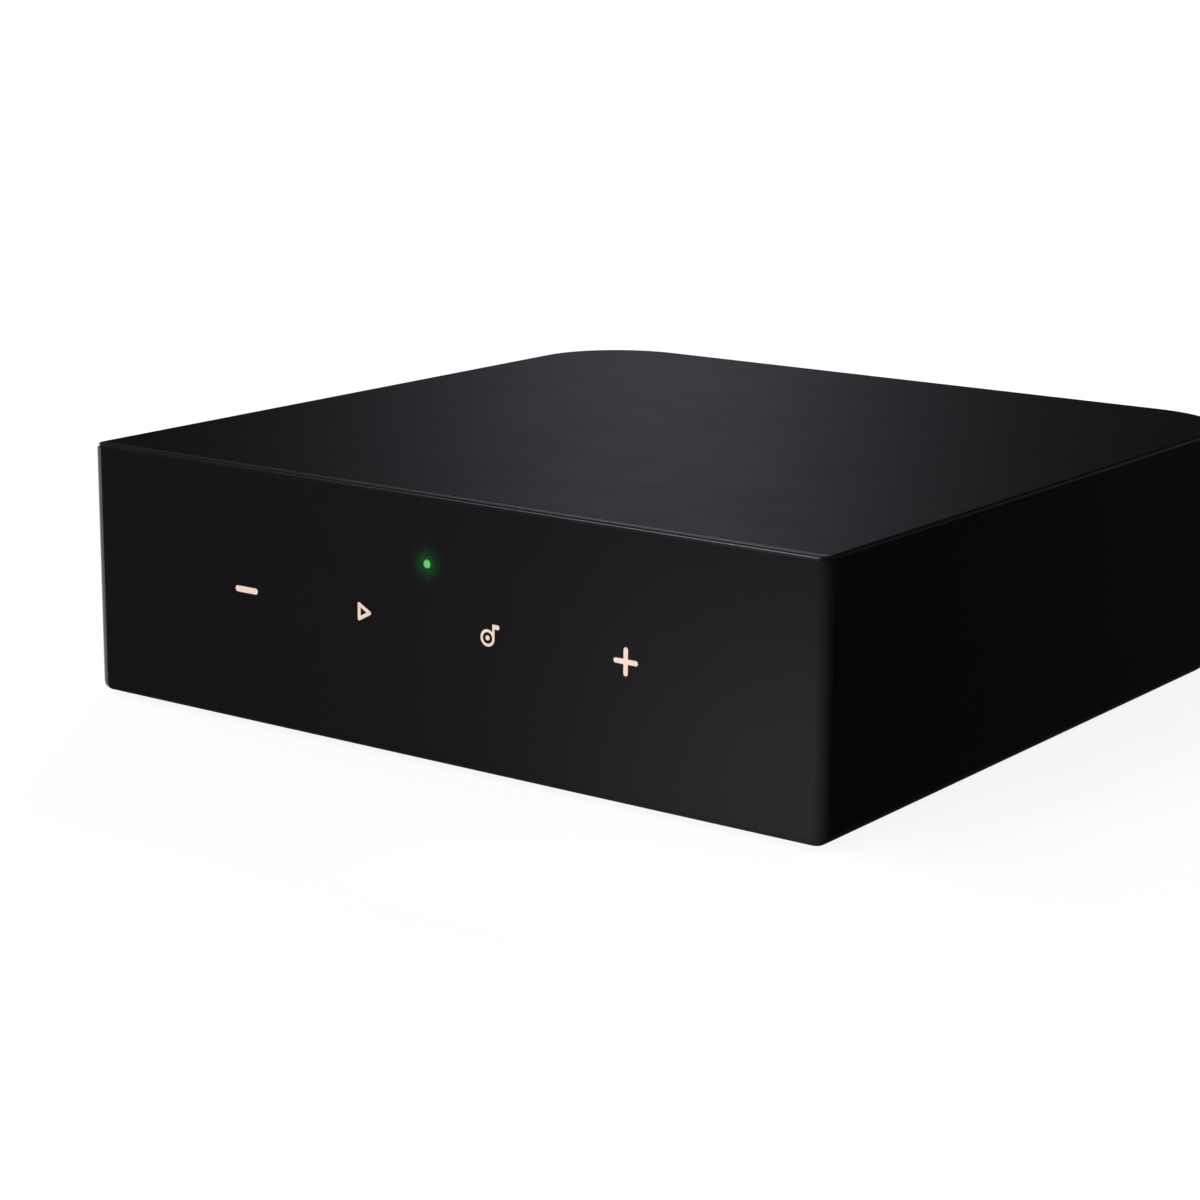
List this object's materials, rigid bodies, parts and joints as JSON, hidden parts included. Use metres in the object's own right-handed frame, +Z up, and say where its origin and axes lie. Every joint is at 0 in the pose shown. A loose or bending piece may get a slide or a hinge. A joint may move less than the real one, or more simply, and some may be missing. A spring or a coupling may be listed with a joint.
{
  "type": "network music streamer",
  "caption": "Square, low black case with a flat touch front, lit icons, and a rear row of audio, network and power sockets.",
  "frame": {"origin": "middle of the case's footprint, on the plane that it rests on", "axes": "+Z up, -Y out of the touch front, +X to the right seen from the front"},
  "size_m": [0.14, 0.1477, 0.042],
  "materials": {
    "case_black": "fine moulded grain, soft satin",
    "port_panel_black": "fine moulded grain, matt",
    "foot_rubber": "matt rubber",
    "screw_steel": "black zinc on steel",
    "icon_white": "translucent white inlay, lit from behind",
    "status_green": "clear light pipe, lit green",
    "baffle_white": "white moulding",
    "pad_grey": "soft conductive foam",
    "board_green": "green solder resist",
    "led_resin": "cast resin",
    "socket_black": "moulded nylon",
    "barrel_plate": "gold plate on brass",
    "core_white": "white insulator",
    "core_red": "red insulator",
    "core_orange": "orange insulator",
    "contact_gold": "gold plate",
    "tin_plate": "tinned steel",
    "collar_steel": "nickel plate",
    "spring_steel": "bright spring steel",
    "chip_black": "moulded epoxy",
    "sink_aluminium": "plain extruded",
    "can_aluminium": "sleeved can",
    "ferrite_grey": "pressed iron powder",
    "cable_white": "laminated film",
    "connector_ivory": "moulded nylon",
    "aerial_film": "copper on film",
    "lead_grey": "extruded jacket",
    "light_element": "dark red window"
  },
  "bodies": {
    "root": {"case_shell": "case_black", "front_panel": "case_black", "base_plate": "case_black", "rear_panel": "port_panel_black", "foot_ring": "foot_rubber", "base_screws": "screw_steel", "minus_icon": "icon_white", "play_icon": "icon_white", "note_icon": "icon_white", "plus_icon": "icon_white", "status_light_pipe": "status_green", "light_baffle": "baffle_white", "touch_pads": "pad_grey", "touch_board": "board_green", "indicator_leds": "led_resin", "touch_board_screws": "screw_steel", "main_board": "board_green", "board_screws": "screw_steel", "line_in_housing": "socket_black", "line_out_housing": "socket_black", "coax_housing": "socket_black", "line_in_barrels": "barrel_plate", "line_out_barrels": "barrel_plate", "coax_barrels": "barrel_plate", "left_cores": "core_white", "right_cores": "core_red", "coax_core": "core_orange", "phono_contacts": "contact_gold", "optical_in_housing": "socket_black", "optical_out_housing": "socket_black", "optical_in_spring": "spring_steel", "optical_out_spring": "spring_steel", "optical_receiver": "light_element", "optical_emitter": "light_element", "trigger_jack": "socket_black", "trigger_collar": "collar_steel", "network_shield": "tin_plate", "network_insert": "socket_black", "network_contacts": "contact_gold", "network_transformer": "chip_black", "power_shell": "tin_plate", "power_tongue": "socket_black", "processor": "chip_black", "processor_shield": "tin_plate", "thermal_pads": "pad_grey", "heat_sink": "sink_aluminium", "radio_board": "board_green", "radio_shield": "tin_plate", "filter_capacitors": "can_aluminium", "power_inductors": "ferrite_grey", "signal_chips": "chip_black", "cable_connectors": "connector_ivory", "touch_cable": "cable_white", "left_aerial": "aerial_film", "right_aerial": "aerial_film", "left_aerial_lead": "lead_grey", "right_aerial_lead": "lead_grey"},
    "optical_in_shutter": {"optical_in_shutter": "socket_black"},
    "optical_out_shutter": {"optical_out_shutter": "socket_black"}
  },
  "joints": [
    {"name": "optical_in_shutter_hinge", "type": "hinge", "parent": "root", "child": "optical_in_shutter", "pos_m": [-0.00475, 0.06775, 0.01725], "axis": [-1, 0, 0], "range_deg": [0, 88], "stiffness_Nm_per_rad": 0.0001, "springref_deg": -22.92, "deforming": ["optical_in_spring"]},
    {"name": "optical_out_shutter_hinge", "type": "hinge", "parent": "root", "child": "optical_out_shutter", "pos_m": [0.00655, 0.06775, 0.01725], "axis": [-1, 0, 0], "range_deg": [0, 88], "stiffness_Nm_per_rad": 0.0001, "springref_deg": -22.92, "deforming": ["optical_out_spring"]}
  ]
}
